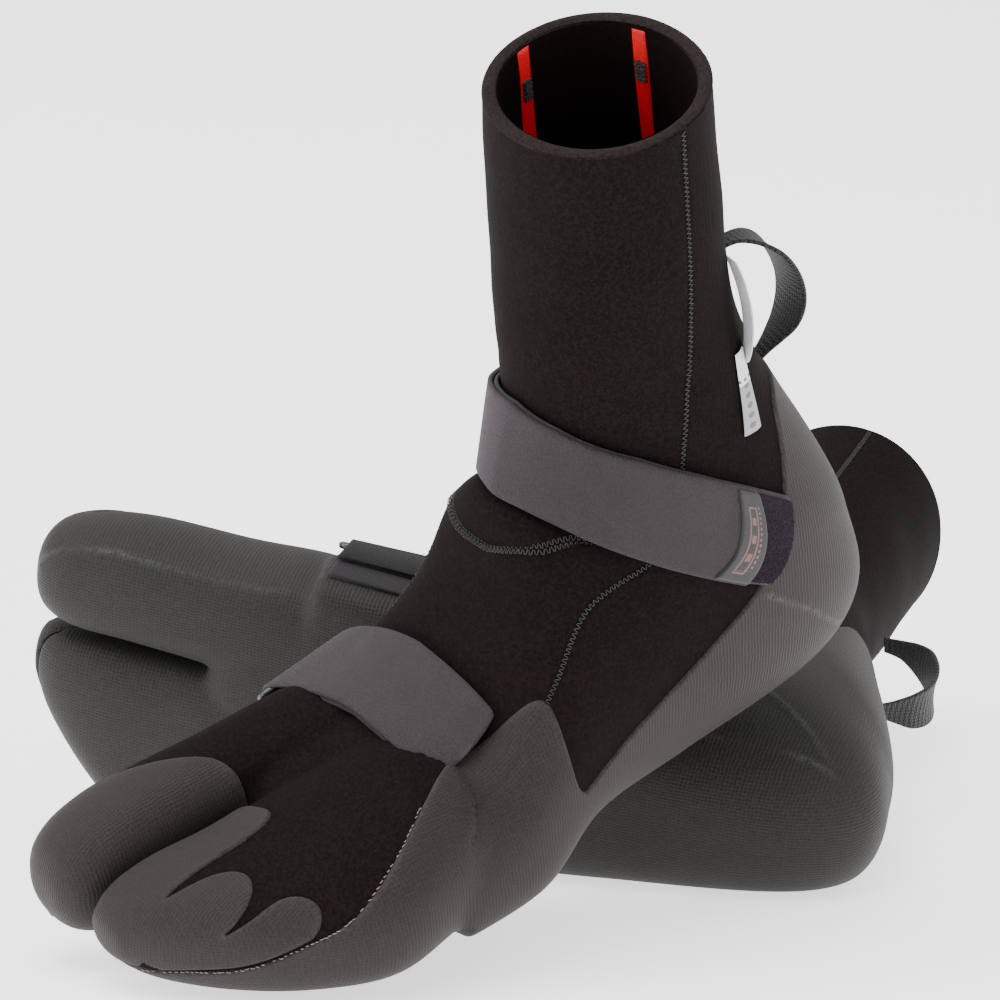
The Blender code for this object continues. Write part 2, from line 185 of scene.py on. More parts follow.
def make_mesh(name, points, faces, material=None, layers=None):
    """A smooth mesh object from points in metres; layers are named per-point values or vectors."""
    mesh = bpy.data.meshes.new(name)
    mesh.from_pydata([tuple(p) for p in np.asarray(points, float)], [], [tuple(map(int, f)) for f in faces])
    if material:
        mesh.materials.append(material)
    for key, value in (layers or {}).items():
        value = np.asarray(value, np.float32)
        kind = "FLOAT_VECTOR" if value.ndim == 2 else "FLOAT"
        data = mesh.attributes.new(key, kind, "POINT").data
        data.foreach_set("vector" if value.ndim == 2 else "value", value.ravel())
    mesh.polygons.foreach_set("use_smooth", [True] * len(mesh.polygons))
    return link(name, mesh)


def joined(parts):
    """Points and faces of several meshes as one."""
    points, faces, base = [], [], 0
    for part, quads in parts:
        points.append(part)
        faces += [tuple(base + k for k in f) for f in quads]
        base += len(part)
    return np.concatenate(points), faces


def nearest_in(points):
    """A search tree over points."""
    tree = kdtree.KDTree(len(points))
    for k, p in enumerate(points):
        tree.insert(p, k)
    tree.balance()
    return tree


def rings_mesh(rings):
    """Points and faces of a closed loft through rings of equal length."""
    n = len(rings[0])
    points = np.concatenate(rings)
    faces = []
    for i in range(len(rings) - 1):
        a, b = i * n, (i + 1) * n
        faces += [(a + k, a + (k + 1) % n, b + (k + 1) % n, b + k) for k in range(n)]
    faces.append(tuple(range(n - 1, -1, -1)))
    faces.append(tuple(range((len(rings) - 1) * n, len(rings) * n)))
    return points, faces


def grid_faces(rows, cols, wrap=False):
    """Quads of a grid of points numbered row by row."""
    i, j = np.meshgrid(np.arange(rows - 1), np.arange(cols if wrap else cols - 1), indexing="ij")
    a = (i * cols + j).ravel()
    b = (i * cols + (j + 1) % cols).ravel()
    return np.stack([a, b, b + cols, a + cols], 1)


def vertex_normals(v, t):
    """Directions out of a triangle mesh at its points."""
    n = np.zeros_like(v)
    fn = np.cross(v[t[:, 1]] - v[t[:, 0]], v[t[:, 2]] - v[t[:, 0]])
    for k in range(3):
        np.add.at(n, t[:, k], fn)
    return unit(n)


def relax(v, t, weight, rounds):
    """Laplacian smoothing, by a weight for each point."""
    e = np.concatenate([t[:, [0, 1]], t[:, [1, 2]], t[:, [2, 0]]])
    e = np.unique(np.sort(e, 1), axis=0)
    for _ in range(rounds):
        total, count = np.zeros_like(v), np.zeros(len(v))
        for a, b in ((0, 1), (1, 0)):
            np.add.at(total, e[:, a], v[e[:, b]])
            np.add.at(count, e[:, a], 1)
        v = v + (total / np.maximum(count, 1)[:, None] - v) * weight[:, None]
    return v


def split(a, t, value, level):
    """Cuts triangles along value = level, so that the line runs through points."""
    s = value - level
    s = np.where(np.abs(s) < 1e-6, 1e-6, s)
    up = s > 0
    lone = up[t].sum(1)
    cut = (lone == 1) | (lone == 2)
    c = t[cut]
    odd = np.where((up[c].sum(1) == 1)[:, None], up[c], ~up[c])
    first = odd.argmax(1)
    r = np.arange(len(c))
    p, q, w = c[r, first], c[r, (first + 1) % 3], c[r, (first + 2) % 3]
    pairs = np.sort(np.concatenate([np.stack([p, q], 1), np.stack([p, w], 1)]), 1)
    edges, index = np.unique(pairs, axis=0, return_inverse=True)
    index = index.ravel()
    f = (s[edges[:, 0]] / (s[edges[:, 0]] - s[edges[:, 1]]))[:, None]
    extra = a[edges[:, 0]] + (a[edges[:, 1]] - a[edges[:, 0]]) * f
    m, n = index[:len(c)] + len(a), index[len(c):] + len(a)
    new = np.concatenate([np.stack([p, m, n], 1), np.stack([m, q, w], 1), np.stack([m, w, n], 1)])
    return np.concatenate([a, extra]), np.concatenate([t[~cut], new])


def keep(a, t, value, level):
    """Only the triangles above a level, and the points they use."""
    t = t[value[t].mean(1) > level]
    used, index = np.unique(t.ravel(), return_inverse=True)
    return a[used], index.reshape(-1, 3)


def polygon_distance(points, poly):
    """Signed distance to a closed polygon in the plane, positive inside."""
    poly = np.asarray(poly, float)
    nearest = np.full(len(points), 1e9)
    inside = np.zeros(len(points), bool)
    for a, b in zip(poly, np.roll(poly, -1, 0)):
        ab, ap = b - a, points - a
        h = np.clip((ap @ ab) / max(ab @ ab, 1e-12), 0, 1)
        nearest = np.minimum(nearest, np.linalg.norm(ap - h[:, None] * ab, axis=1))
        crosses = (a[1] > points[:, 1]) != (b[1] > points[:, 1])
        with np.errstate(divide="ignore", invalid="ignore"):
            at = a[0] + (points[:, 1] - a[1]) / (b[1] - a[1]) * ab[0]
        inside ^= crosses & (points[:, 0] < at)
    return np.where(inside, nearest, -nearest)


def round_corners(poly, rounds=3, sharp=()):
    """Chaikin corner cutting of a closed polygon; named corners stay sharp."""
    poly = [tuple(p) for p in poly]
    fixed = {poly[k] for k in sharp}
    for _ in range(rounds):
        out = []
        for k, p in enumerate(poly):
            q0, q1 = poly[k - 1], poly[(k + 1) % len(poly)]
            if p in fixed:
                out.append(p)
                continue
            out.append((p[0] * 0.75 + q0[0] * 0.25, p[1] * 0.75 + q0[1] * 0.25))
            out.append((p[0] * 0.75 + q1[0] * 0.25, p[1] * 0.75 + q1[1] * 0.25))
        poly = out
    return poly


# ------------------------------------------------------------------ the body, shared by both boots
def body_shape():
    """Closed body of a boot as points (mm) and triangles: shaft, foot and toe pockets in one."""
    turn = np.linspace(0, 360, 120, endpoint=False)
    toes = np.linspace(0, 360, 72, endpoint=False)
    above_cuff = skin(np.zeros(120), turn) + np.array([0, 0.8, 7.0])
    leg = [skin(np.full(120, u), turn) for u in np.linspace(0, 9, 82)]
    parts = [rings_mesh([above_cuff] + leg)]
    for rows, side in ((BIG_TOE, -1), (FOUR_TOES, 1), (WEB, 0)):
        stations = np.linspace(0, len(rows) - 1, 50)
        parts.append(rings_mesh([lobe(rows, np.full(72, k), toes, side) for k in stations]))
    points, faces = joined(parts)
    obj = make_mesh("whole", points * MM, faces)
    grid = obj.modifiers.new("grid", "REMESH")
    grid.mode = "VOXEL"
    grid.voxel_size = VOXEL * MM
    result = obj.evaluated_get(bpy.context.evaluated_depsgraph_get()).to_mesh()
    result.calc_loop_triangles()
    v = np.empty(len(result.vertices) * 3)
    result.vertices.foreach_get("co", v)
    t = np.empty(len(result.loop_triangles) * 3, np.int32)
    result.loop_triangles.foreach_get("vertices", t)
    bpy.data.objects.remove(obj, do_unlink=True)
    v, t = v.reshape(-1, 3) / MM, t.reshape(-1, 3)
    front = np.clip((-92 - v[:, 1]) / 14, 0, 1)
    v = relax(v, t, 0.25 + 0.35 * front, 4)
    v = relax(v, t, 0.5 * front, 5)
    return v, t


def surface_place(v, first):
    """Station and angle of points on the face, refined from the nearest sample."""
    us = np.repeat(np.linspace(0, 9, 181), 180)
    angles = np.tile(np.arange(0, 360, 2.0), 181)
    samples = skin(us, angles)
    tree = nearest_in(samples)
    near = np.array([tree.find(p)[1] for p in v[first]])
    u, angle = us[near].copy(), angles[near].copy()
    for _ in range(5):
        here = skin(u, angle)
        du = (skin(u + 0.01, angle) - here) / 0.01
        da = (skin(u, angle + 0.2) - here) / 0.2
        r = v[first] - here
        uu, aa, ua = (du * du).sum(1), (da * da).sum(1), (du * da).sum(1)
        ru, ra = (r * du).sum(1), (r * da).sum(1)
        det = np.maximum(uu * aa - ua * ua, 1e-9)
        u = np.clip(u + np.clip((ru * aa - ra * ua) / det, -0.2, 0.2), 0, 9)
        angle = angle + np.clip((ra * uu - ru * ua) / det, -5, 5)
    return u, angle


# ------------------------------------------------------------------ rubber outlines on the body
OUTER = ((12, 16), 0.66)
BIG = ((-33, 18), 0.36)


def chart(points, axis, scale, wrap=False):
    """Unrolled position round an axis that runs along the boot: (arc in mm, y)."""
    angle = np.degrees(np.arctan2(points[:, 0] - axis[0], points[:, 2] - axis[1]))
    if wrap:
        angle = np.where(angle < -90, angle + 360, angle)
    return np.stack([angle * scale, points[:, 1]], 1)


RAND_HEIGHT = ((-210, 11), (-198, 12.2), (-190.5, 15), (-180, 18.3), (-164, 26.4), (-149, 32.5),
               (-129, 41.9), (-111, 48.4), (-100, 49))
WING = ((330, -190), (92, -190), (82, -176), (75, -163), (69.6, -149), (56.1, -129), (41.5, -111),
        (30.5, -98), (27.5, -90), (28, -82), (26.5, -72), (27, -65.5), (30, -62), (36, -61.5),
        (48, -61.5), (60, -61), (69, -59), (80, -45), (330, -45))
SIDE = ((-70, 24), (-64, 26), (-59.5, 29.2), (-55, 30.2), (-39, 36.6), (-10.7, 47.8), (10, 59.5),
        (19, 65.5), (27, 78), (33.5, 95), (36, 108), (37.2, 118), (39, 122), (44, 123.3), (90, 123.3),
        (90, -30), (-70, -30))
INNER_SIDE = ((-260, 22), (-196, 22), (-185, 30), (-160, 34), (-104, 35), (-60, 37), (-30, 41), (-10, 47),
              (8, 57), (19, 67), (27, 78), (33.5, 95), (36, 108), (37.2, 118), (39, 122), (44, 123.3),
              (90, 123.3), (90, -30), (-260, -30))
FINGER = ((150, -143), (60, -141.5), (40, -141), (28, -141.5), (16, -143.5), (6, -148), (-6, -156),
          (-18, -167), (-36, -180), (-62, -190), (-95, -197), (-150, -199), (-180, -199), (-180, -250),
          (180, -250), (180, -143))
FOUR = ((-150, -147), (-60, -148), (-25, -146.5), (-10, -145.5), (-3, -148), (0.5, -154), (1.5, -170),
        (2.2, -189), (6, -186), (10, -181), (14, -174.5), (20, -169.5), (27, -167), (34, -167),
        (42, -169.5), (50, -175), (58.6, -182.5), (56, -176), (52, -168), (51.5, -162.5), (55, -158),
        (61, -156), (68, -158), (73.5, -162.5), (80, -170), (120, -200), (120, -250), (-150, -250))


def outlines(v):
    """Distances inside the sole wrap and inside the four-toe overlay, in mm."""
    wing = [(a * OUTER[1], y) for a, y in WING]
    near = polygon_distance(chart(v, *OUTER, True), round_corners(wing, 2))
    low = curve(RAND_HEIGHT, v[:, 1]) - v[:, 2]
    mix = np.clip((v[:, 1] + 158) / 14, 0, 1)
    outer = near * mix + low * (1 - mix)
    outer = np.where(v[:, 1] > -72, np.maximum(np.where(v[:, 1] < -45, outer, -99),
                                               polygon_distance(v[:, 1:], round_corners(SIDE, 2))), outer)
    inner = polygon_distance(v[:, 1:], round_corners(INNER_SIDE, 2))
    blend = np.clip((v[:, 0] - CLEFT) / 4 + 0.5, 0, 1) * (v[:, 1] < -60) + (v[:, 0] > 0) * (v[:, 1] >= -60)
    sole = outer * blend + inner * (1 - blend)
    big = [(a * BIG[1], y) for a, y in FINGER]
    finger = polygon_distance(chart(v, *BIG), round_corners(big, 2))
    finger = np.where((v[:, 0] < CLEFT) & (v[:, 1] < -120), finger, -99)
    four = [(a * OUTER[1], y) for a, y in FOUR]
    toes = polygon_distance(chart(v, *OUTER), round_corners(four, 1, (7, 16)))
    toes = np.where((v[:, 0] > CLEFT) & (v[:, 1] < -120), toes, -99)
    toes = np.minimum(toes, -low - 1.0)
    return np.maximum(sole, finger), toes


def bumps(v, u, angle, known):
    """Unevenness of the foam, outwards in mm."""
    fold = np.zeros(len(v))
    ridge = v[:, 0] + 21 + 0.05 * (v[:, 1] + 100)
    zone = np.clip((-88 - v[:, 1]) / 12, 0, 1) * np.clip((v[:, 1] + 150) / 14, 0, 1) * (v[:, 2] > 25)
    fold += 0.9 * np.exp(-((ridge / 3.5) ** 2)) * zone - 0.8 * np.exp(-(((ridge - 7) / 4.5) ** 2)) * zone
    wave = (np.sin(v[:, 2] / 9.0 + v[:, 0] / 23.0) * np.sin(v[:, 0] / 13.0 + 1.3 + v[:, 1] / 17.0)
            + 0.5 * np.sin(v[:, 2] / 4.7 + v[:, 1] / 11.0))
    fold += 0.16 * wave
    shaft = known & (u < 5)
    crease = np.exp(-(((v[:, 2] - 150) / 5) ** 2)) + 0.6 * np.exp(-(((v[:, 2] - 163) / 6) ** 2))
    fold -= np.where(shaft, 0.35 * crease * (0.5 + 0.5 * np.cos(np.radians(angle - 20))), 0)
    return fold


RIDGES = (
    ((38.5, 20.6, 62.7), (34.8, 36.2, 48.5), (31, 46, 38), (24.6, 55.3, 28.1), (14, 66, 26), (0, 70, 25.5),
     (-13.8, 65.9, 27.2), (-23.5, 57.1, 29.2), (-30.8, 45.4, 36.5), (-36.1, 28.4, 46.1), (-38.5, 20, 58)),
    ((-28.2, 15.9, 17), (-26, 41.2, 22.5), (-23.5, 56.1, 24.9), (-13.8, 65.9, 27.2)),
    ((-36, -202, 8), (-42.2, -197.7, 7.1), (-47.3, -179, 6.5), (-47.5, -161, 5.5), (-47.6, -132.5, 5.7),
     (-50, -104, 6), (-47, -84, 7), (-43, -60, 9)),
)


def heel_lines(v):
    """Distance in mm from the moulded ridges of the heel and sole edge."""
    near = np.full(len(v), 99.0)
    zone = (v[:, 2] < 80) & ((v[:, 1] > 5) | (v[:, 0] < -20))
    for path in RIDGES:
        points = catmull(path, np.linspace(0, len(path) - 1, 30 * len(path)))
        tree = nearest_in(points)
        near[zone] = np.minimum(near[zone], [tree.find(p)[2] for p in v[zone]])
    return near


SHAPE_V, SHAPE_T = body_shape()


# ------------------------------------------------------------------ materials
class Shade:
    """A principled material, with short ways to add and join its nodes."""

    def __init__(self, name, rough, sheen=0.0, fuzz=0.5, tint=(255, 255, 255), specular=0.5, **values):
        self.material = bpy.data.materials.new(name)
        self.material.use_nodes = True
        self.nodes = self.material.node_tree.nodes
        self.links = self.material.node_tree.links
        self.surface = self.nodes["Principled BSDF"]
        values.update({"Roughness": rough, "Sheen Weight": sheen, "Sheen Roughness": fuzz,
                       "Sheen Tint": rgb(*tint), "Specular IOR Level": specular})
        for key, value in values.items():
            self.surface.inputs[key].default_value = value

    def add(self, kind, inputs=(), **settings):
        node = self.nodes.new(kind)
        for key, value in settings.items():
            setattr(node, key, value)
        for key, value in dict(inputs).items():
            if isinstance(value, bpy.types.NodeSocket):
                self.links.new(value, node.inputs[key])
            else:
                node.inputs[key].default_value = value
        return node

    def math(self, operation, a, b=0.0, c=0.0):
        return self.add("ShaderNodeMath", {0: a, 1: b, 2: c}, operation=operation).outputs[0]

    def times(self, a, b):
        return self.math("MULTIPLY", a, b)

    def add_scaled(self, a, scale, base):
        """a * scale + base."""
        return self.math("MULTIPLY_ADD", a, scale, base)

    def apart(self, x, middle):
        """How far x is from a value."""
        return self.math("ABSOLUTE", self.math("SUBTRACT", x, middle))

    def layer(self, name):
        """A per-point vector of the mesh and its three parts."""
        vector = self.add("ShaderNodeAttribute", attribute_name=name).outputs["Vector"]
        return (vector, *self.add("ShaderNodeSeparateXYZ", {0: vector}).outputs[:3])

    def value(self, name):
        return self.add("ShaderNodeAttribute", attribute_name=name).outputs["Fac"]

    def noise(self, vector, scale, detail=2.0, rough=0.5):
        return self.add("ShaderNodeTexNoise", {"Vector": vector, "Scale": scale, "Detail": detail,
                                               "Roughness": rough}).outputs["Fac"]

    def spread(self, x, low, high, to_low=0.0, to_high=1.0):
        return self.add("ShaderNodeMapRange", {"Value": x, "From Min": low, "From Max": high,
                                               "To Min": to_low, "To Max": to_high}).outputs[0]

    def mix(self, factor, one, other):
        node = self.add("ShaderNodeMix", data_type="RGBA")
        for index, value in ((0, factor), (6, one), (7, other)):
            if isinstance(value, bpy.types.NodeSocket):
                self.links.new(value, node.inputs[index])
            else:
                node.inputs[index].default_value = value
        return node.outputs[2]

    def wave(self, x, pitch, shift=0.0):
        """Sine of a coordinate in mm, between 0 and 1."""
        turn = self.add_scaled(x, 2 * pi / pitch, shift)
        return self.add_scaled(self.math("SINE", turn), 0.5, 0.5)

    def finish(self, colour=None, height=None, depth=0.0001, rough=None):
        if colour is not None:
            self.links.new(colour, self.surface.inputs["Base Color"])
        if rough is not None:
            self.links.new(rough, self.surface.inputs["Roughness"])
        if height is not None:
            bump = self.add("ShaderNodeBump", {"Height": height, "Distance": depth, "Strength": 1.0})
            self.links.new(bump.outputs[0], self.surface.inputs["Normal"])
        return self.material


def rgb(r, g, b):
    """A screen colour as the shader's linear colour."""
    return tuple(((c / 255 + 0.055) / 1.055) ** 2.4 if c > 10 else c / 3295 for c in (r, g, b)) + (1.0,)


def neoprene(name, dark, light, sheen):
    """Jersey-faced foam: fine knit loops, pilling and faint blotches."""
    s = Shade(name, 0.88, sheen, 0.45, (150, 128, 118), 0.08)
    at, x, y, z = s.layer("boot")
    fine = s.noise(at, 0.8, 4, 0.75)
    specks = s.noise(at, 1.3, 2, 0.6)
    blotch = s.noise(at, 0.035, 4, 0.6)
    loops = s.times(s.wave(z, 0.95), s.wave(s.math("ADD", x, y), 0.95))
    tone = s.add_scaled(s.spread(fine, 0.40, 0.62), 0.6, s.times(blotch, 0.45))
    tone = s.add_scaled(s.spread(specks, 0.58, 0.70), 0.8, tone)
    colour = s.mix(tone, dark, light)
    groove = s.value("groove")
    colour = s.mix(s.times(groove, 0.55), colour, rgb(8, 7, 7))
    height = s.add_scaled(loops, 0.35, s.add_scaled(fine, 0.9, s.times(blotch, 2.0)))
    return s.finish(colour, height, 0.00016)


def rubber(name, dark, light, worn):
    """Matte rubber with the print of a fine mesh."""
    s = Shade(name, 0.62, 0.06, 0.5, (200, 192, 190), 0.2)
    at, x, y, z = s.layer("boot")
    nx, ny, nz = s.layer("facing")[1:]
    warp = s.times(s.noise(at, 0.22, 2), 1.4)
    wx, wy, wz = (s.wave(s.math("ADD", k, warp), pitch) for k, pitch in ((x, 1.0), (y, 1.25), (z, 1.0)))
    faces = [s.times(s.math("MAXIMUM", one, s.times(other, 0.75)), s.times(n, n))
             for one, other, n in ((wx, wy, nz), (wy, wz, nx), (wx, wz, ny))]
    mesh = s.math("ADD", s.math("ADD", faces[0], faces[1]), faces[2])
    fine = s.noise(at, 0.9, 4, 0.75)
    blotch = s.noise(at, 0.045, 4, 0.62)
    tone = s.add_scaled(mesh, 0.42, s.times(blotch, 0.28))
    tone = s.add_scaled(s.spread(fine, 0.36, 0.66), 0.42, tone)
    colour = s.mix(tone, dark, light)
    wear = s.times(s.value("wear"), s.spread(s.noise(at, 0.5, 4, 0.7), 0.35, 0.68))
    colour = s.mix(wear, colour, worn)
    height = s.add_scaled(mesh, 0.8, s.times(fine, 0.5))
    return s.finish(colour, height, 0.00020, s.spread(fine, 0.2, 0.8, 0.55, 0.72))


def weave(name, dark, light, pitch, depth=0.00018, rough=0.72, sheen=0.2, rib=0.0, tint=(160, 150, 158)):
    """Woven band: ribs across it and threads along it, from its own coordinates."""
    s = Shade(name, rough, sheen, 0.4, tint, 0.3)
    at, x, y, z = s.layer("weave")
    half = s.times(s.math("FLOOR", s.math("DIVIDE", x, pitch)), pi)
    cloth = s.times(s.wave(x, pitch), s.wave(y, pitch, half))
    cloth = s.add_scaled(s.wave(y, 2.1), rib, cloth)
    fine = s.noise(at, 1.0, 4, 0.75)
    blotch = s.noise(at, 0.11, 3, 0.6)
    tone = s.add_scaled(s.spread(fine, 0.36, 0.66), 0.5, s.times(blotch, 0.35))
    colour = s.mix(s.add_scaled(cloth, 0.4, tone), dark, light)
    return s.finish(colour, s.add_scaled(cloth, 1.0, s.times(fine, 0.7)), depth)


def plush(name, dark, light):
    """Brushed loop pile."""
    s = Shade(name, 0.95, 0.35, 0.6, (120, 105, 125), 0.15)
    tuft = s.noise(s.layer("weave")[0], 0.9, 5, 0.75)
    return s.finish(s.mix(s.spread(tuft, 0.36, 0.68), dark, light), tuft, 0.0012)


def printed_label(name):
    """Woven tab with a plain frame and bars in a copper-coloured thread."""
    s = Shade(name, 0.6, 0.2, specular=0.35)
    at, x, y, z = s.layer("weave")
    edge = s.math("MINIMUM", s.math("MINIMUM", s.math("SUBTRACT", x, -2.6), s.math("SUBTRACT", 1.6, x)),
                  s.math("MINIMUM", s.math("SUBTRACT", y, -11), s.math("SUBTRACT", 13, y)))
    frame_line = s.math("LESS_THAN", s.apart(edge, 0.35), 0.32)
    core = s.math("GREATER_THAN", edge, 1.2)
    bars = s.times(core, s.math("GREATER_THAN", s.wave(y, 6.2, 1.0), 0.62))
    dots = s.times(s.math("LESS_THAN", s.apart(x, 2.7), 0.4),
                   s.times(s.math("LESS_THAN", s.math("ABSOLUTE", y), 11.5),
                           s.math("GREATER_THAN", s.wave(y, 1.9), 0.45)))
    ink = s.math("MAXIMUM", frame_line, s.math("MAXIMUM", bars, dots))
    thread = s.times(s.wave(x, 0.42), s.wave(y, 0.42))
    grain = s.noise(at, 2.2, 2)
    ground = s.mix(grain, rgb(8, 6, 7), rgb(30, 25, 27))
    colour = s.mix(s.times(ink, s.spread(grain, 0.25, 0.6, 0.35, 0.8)), ground, rgb(128, 88, 82))
    return s.finish(colour, s.math("ADD", thread, s.times(ink, 1.5)), 0.0001)


def care_print(name):
    """White satin ribbon printed with plain grey blocks."""
    s = Shade(name, 0.42, 0.1)
    at, x, y, z = s.layer("weave")
    block = s.times(s.math("GREATER_THAN", y, -3.1), s.math("LESS_THAN", s.math("ABSOLUTE", x), 10.5))
    pattern = s.times(s.wave(x, 5.2, 1.0), s.wave(y, 3.4))
    squares = s.times(block, s.math("GREATER_THAN", pattern, 0.42))
    row = s.times(s.math("LESS_THAN", s.apart(y, -4.6), 0.5), s.math("GREATER_THAN", s.wave(x, 3.1), 0.5))
    colour = s.mix(block, rgb(232, 232, 235), rgb(150, 150, 154))
    colour = s.mix(squares, colour, rgb(86, 84, 88))
    colour = s.mix(row, colour, rgb(70, 70, 74))
    colour = s.mix(s.times(s.noise(at, 0.9, 3), 0.16), colour, rgb(120, 118, 122))
    return s.finish(colour, s.times(s.wave(x, 0.4), s.wave(y, 0.4)), 0.00006)


def plain(name, dark, light, scale, rough, depth=0.0001, **values):
    """Two close tones in a grain, for thread, tape and metal."""
    s = Shade(name, rough, **values)
    at = s.add("ShaderNodeTexCoord").outputs["Object"]
    grain = s.noise(at, scale, 3, 0.6)
    gloss = s.spread(grain, 0.3, 0.7, rough - 0.06, rough + 0.06)
    return s.finish(s.mix(grain, dark, light), grain, depth, gloss)


NEOPRENE = neoprene("neoprene_knit", rgb(2, 1, 1), rgb(24, 17, 15), 0.0)
LINING = neoprene("neoprene_lining", rgb(7, 3, 3), rgb(20, 11, 9), 0.0)
CUT_EDGE = neoprene("neoprene_edge", rgb(16, 13, 12), rgb(40, 33, 31), 0.05)
RUBBER = {"left": rubber("rubber_warm", rgb(6, 5, 5), rgb(44, 37, 37), rgb(122, 115, 114)),
          "right": rubber("rubber_grey", rgb(8, 8, 7), rgb(44, 43, 41), rgb(104, 105, 102))}
STRAP = weave("elastic_webbing", rgb(12, 9, 11), rgb(54, 46, 50), 0.62)
TAB = weave("black_webbing", rgb(10, 9, 10), rgb(38, 35, 38), 0.8)
LOOP_BAND = weave("ribbed_webbing", rgb(4, 4, 4), rgb(34, 31, 32), 1.1, 0.0004, 0.6, 0.15, 0.9)
PILE = plush("loop_pile", rgb(4, 2, 4), rgb(38, 26, 36))
LABEL = printed_label("woven_label")
SATIN = care_print("printed_satin")
RIBBON = weave("white_ribbon", rgb(196, 196, 202), rgb(240, 240, 243), 0.5, 0.0001, 0.5, 0.1)
TAPE = weave("red_seam_tape", rgb(196, 0, 14), rgb(242, 14, 30), 0.7, 0.0001, 0.45, 0.1, tint=(255, 120, 120))
THREAD = plain("black_thread", rgb(8, 6, 6), rgb(40, 33, 32), 900, 0.6, sheen=0.1)
PALE_THREAD = plain("scuffed_thread", rgb(60, 52, 50), rgb(150, 138, 134), 700, 0.6)
METAL = plain("dark_steel", rgb(54, 53, 55), rgb(92, 91, 93), 500, 0.34, 0.00003, Metallic=0.85)


# ------------------------------------------------------------------ pieces
def piece(side, name, points, faces, material, body, slot, layers=None, nodes=()):
    """A piece of one boot, made in the boot's frame and set in the pair's frame."""
    faces = [tuple(f)[::-1] for f in faces] if side == "right" else faces
    obj = make_mesh(side + "_" + name, place(side, points), faces, material, layers)
    if nodes:
        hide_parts(*[side + "_" + node for node in nodes])
    if body:
        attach(obj, side + "_" + body)
    return obj


# columns of the body's table: place, way out, depth inside the sole and toe outlines, seams, wear, ridges
PLACE, OUT = slice(0, 3), slice(3, 6)
SOLE, TOES, GROOVE, WEAR, RIDGE = range(6, 11)
INSTEP_LINE = ((-70, 5.2), (-45, 5.8), (-20, 6.3), (-4, 6.4), (9, 6.3), (29, 5.85), (38, 5.25), (56, 4.7),
               (70, 4.4))
CUFF = (np.array((0, 1.7, 241.2)), np.array((0, -0.106, 0.994)))  # a point and the way out of the cuff's cut
EDGE_STEPS = (0.12, 0.5, 1.2)  # distances in from an outline where the rubber's rounded edge gets points
THICK, ROUND = 1.25, 1.2
SNAP_FROM, SNAP_WIDTH, SNAP_REACH = -108, 22, 5  # where along the foot the remeshed body joins the exact face
GIRTH = radians(37)  # mm of face for a degree round the boot
STATION_LENGTH = 17


def shell_tables():
    """The body as a table with the columns above, and its triangles."""
    v, t = SHAPE_V, SHAPE_T
    first = np.nonzero(v[:, 1] > SNAP_FROM)[0]
    u, angle = surface_place(v, first)
    on_face = skin(u, angle)
    near = np.linalg.norm(on_face - v[first], axis=1)
    weight = np.clip((v[first, 1] - SNAP_FROM) / SNAP_WIDTH, 0, 1) * (near < SNAP_REACH)
    v = v.copy()
    v[first] += (on_face - v[first]) * weight[:, None]
    station = np.full(len(v), 9.0)
    station[first] = u
    turn = np.zeros(len(v))
    turn[first] = (angle + 180) % 360 - 180
    known = np.zeros(len(v), bool)
    known[first] = True
    n = vertex_normals(v, t)
    groove = np.full(len(v), 9.0)
    side_seam = curve(SEAM, station)
    for way in (1, -1):
        away = np.abs(turn * way - side_seam) * GIRTH
        groove = np.minimum(groove, np.where(known & (station < 8.6), away, 9))
    cross = np.abs(station - curve(INSTEP_LINE, turn)) * STATION_LENGTH
    groove = np.minimum(groove, np.where(known & (np.abs(turn) < 74) & (v[:, 2] > 60), cross, 9))
    line = np.exp(-((groove / 0.8) ** 2))
    v = v + n * (bumps(v, station, turn, known) - 0.55 * line)[:, None]
    sole, toes = outlines(v)
    heel = heel_lines(v)
    return np.column_stack([v, n, sole, toes, line, np.exp(-(heel**2)), heel]), t


def skin_piece(a, t, column):
    """The raised rubber inside one outline, with a rounded edge, and its fields."""
    for level in (0.0,) + EDGE_STEPS:
        a, t = split(a, t, a[:, column], level)
    a, t = keep(a, t, a[:, column], 0.0)
    d = np.clip(a[:, column], 0, ROUND) / ROUND
    height = THICK * np.sqrt(np.maximum(1 - (1 - d) ** 2, 0)) - 0.25
    ridge = 0.55 * np.exp(-((a[:, RIDGE] / 1.1) ** 2)) if column == SOLE else 0
    return a[:, PLACE] + a[:, OUT] * (height + ridge)[:, None], t, a


def layers_of(a, points):
    rim = np.exp(-np.clip(np.minimum(np.abs(a[:, SOLE]), np.abs(a[:, TOES])), 0, 9) / 0.8)
    return {"boot": points, "facing": a[:, OUT], "groove": a[:, GROOVE],
            "wear": np.clip(a[:, WEAR] * 0.32 + rim * 0.16, 0, 1)}


def below_cuff(a):
    """Distance of the table's points below the cuff's cut."""
    return -(a[:, PLACE] - CUFF[0]) @ CUFF[1]


def make_shells(side, table, t):
    """The foam body, open at the cuff and under the rubber, and the two rubber skins over it."""
    a, faces = split(table, t, below_cuff(table), 0.0)
    a, faces = keep(a, faces, below_cuff(a), 0.0)
    a, faces = keep(a, faces, -np.maximum(a[:, SOLE], a[:, TOES]), -3.0)
    obj = piece(side, "neoprene", a[:, PLACE], faces, NEOPRENE, "boot", "neoprene", layers_of(a, a[:, PLACE]),
                ("shaft_front", "vamp", "heel_panel", "foot_panel", "big_toe_pocket", "four_toe_pocket"))
    for name, column, nodes in (
            ("sole_wrap", SOLE, ("tread", "big_toe_cap", "outer_wing", "outer_rand", "inner_rand", "heel_cup")),
            ("toe_overlay", TOES, ("four_toe_cap",))):
        points, faces, a = skin_piece(table, t, column)
        piece(side, name, points, faces, RUBBER[side], "boot", "rubber", layers_of(a, points), nodes)


